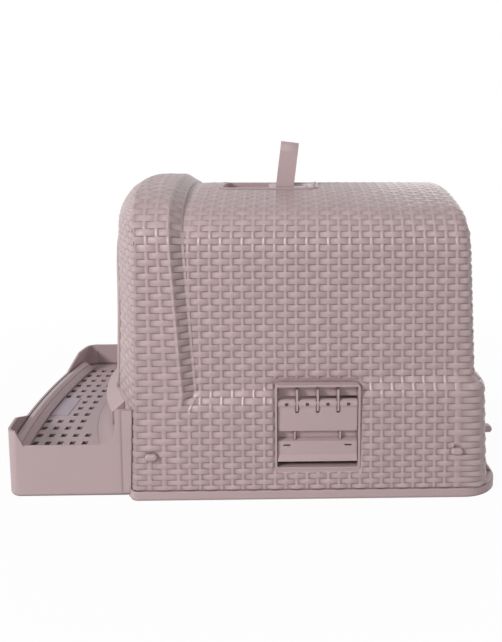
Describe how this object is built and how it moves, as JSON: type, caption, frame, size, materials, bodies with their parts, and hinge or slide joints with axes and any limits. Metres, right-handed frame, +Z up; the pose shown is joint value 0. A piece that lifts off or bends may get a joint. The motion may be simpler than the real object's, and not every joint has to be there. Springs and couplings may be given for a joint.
{
  "type": "covered litter box",
  "caption": "Covered pet litter box with a basket-weave hood over a litter pan, an arched entry with a perforated step, a folding carry handle and snap side clips.",
  "frame": {"origin": "centre of the footprint, on the floor", "axes": "+Z up, the entry step points to -X, +X is the rear, -Y is the side shown in the picture"},
  "size_m": [0.616, 0.3976, 0.4319],
  "materials": {
    "hood_plastic": "satin",
    "pan_plastic": "satin",
    "step_plastic": "satin",
    "handle_plastic": "satin",
    "clip_plastic": "satin",
    "pin_steel": "plain"
  },
  "bodies": {
    "pan": {"base_pan": "pan_plastic"},
    "hood": {"hood_shell": "hood_plastic", "hood_uprights": "hood_plastic", "handle_cup": "handle_plastic", "handle_pins": "pin_steel", "clip_housing_near": "clip_plastic", "clip_housing_far": "clip_plastic", "clip_pin_near": "pin_steel", "clip_pin_far": "pin_steel", "hood_studs": "hood_plastic"},
    "handle": {"carry_handle": "handle_plastic"},
    "near_clip": {"clip_near": "clip_plastic"},
    "far_clip": {"clip_far": "clip_plastic"},
    "tray": {"step_tray": "step_plastic"},
    "grate": {"step_grate": "step_plastic"}
  },
  "joints": [
    {"name": "hood_lift", "type": "slide", "parent": "pan", "child": "hood", "axis": [0, 0, 1], "range_m": [0, 0.2]},
    {"name": "handle_fold", "type": "hinge", "parent": "hood", "child": "handle", "pos_m": [0.041, 0, 0.358], "axis": [0, -1, 0], "range_deg": [0, 97]},
    {"name": "near_clip_swing", "type": "hinge", "parent": "hood", "child": "near_clip", "pos_m": [0.081, -0.187, 0.1175], "axis": [-1, 0, 0], "range_deg": [0, 100]},
    {"name": "far_clip_swing", "type": "hinge", "parent": "hood", "child": "far_clip", "pos_m": [0.081, 0.187, 0.1175], "axis": [1, 0, 0], "range_deg": [0, 100]},
    {"name": "tray_pull", "type": "slide", "parent": "pan", "child": "tray", "axis": [-1, 0, 0], "range_m": [0, 0.15]},
    {"name": "grate_lift", "type": "slide", "parent": "tray", "child": "grate", "axis": [0, 0, 1], "range_m": [0, 0.08]}
  ]
}
